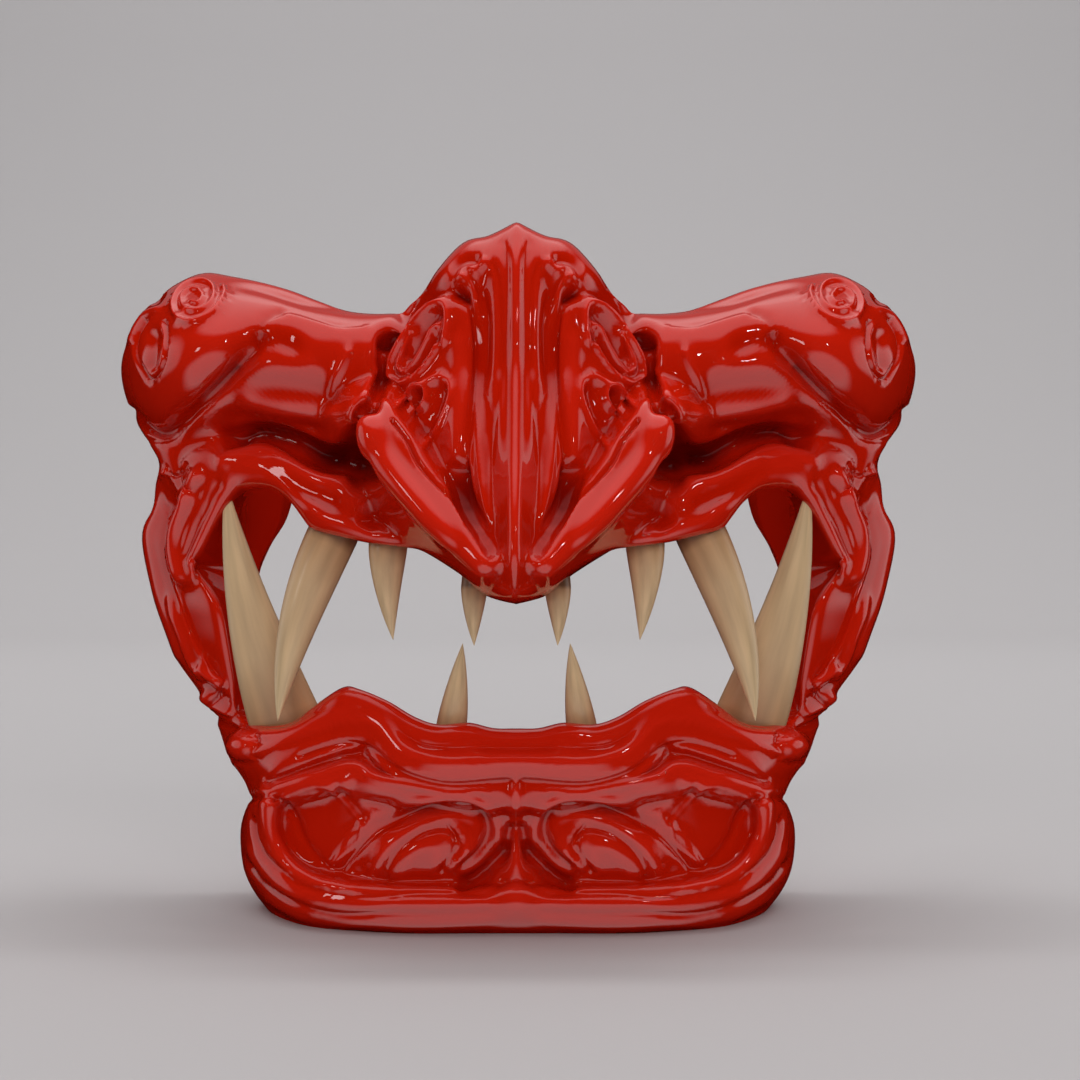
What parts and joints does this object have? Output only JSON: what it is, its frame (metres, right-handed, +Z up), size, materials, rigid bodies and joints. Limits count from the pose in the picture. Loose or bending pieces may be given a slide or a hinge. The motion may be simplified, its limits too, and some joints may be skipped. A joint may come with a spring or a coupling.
{
  "type": "oni half mask",
  "caption": "Lacquered oni half mask with a ridged nose, rounded cheek knobs, an open mouth with ivory teeth and a flat chin that it stands on.",
  "frame": {"origin": "middle of the bounding box, at the height of the flat chin that the mask stands on", "axes": "+Z up, -Y the way the face looks, +X to the right of someone who looks at its front"},
  "size_m": [0.1842, 0.1164, 0.1505],
  "materials": {
    "red_lacquer": "gloss",
    "ivory_paint": "satin"
  },
  "bodies": {
    "root": {"face_shell": "red_lacquer", "upper_inner_tooth_right": "ivory_paint", "upper_inner_tooth_left": "ivory_paint", "upper_outer_tooth_right": "ivory_paint", "upper_outer_tooth_left": "ivory_paint", "upper_fang_right": "ivory_paint", "upper_fang_left": "ivory_paint", "lower_tusk_right": "ivory_paint", "lower_tusk_left": "ivory_paint", "lower_tooth_right": "ivory_paint", "lower_tooth_left": "ivory_paint"}
  },
  "joints": []
}
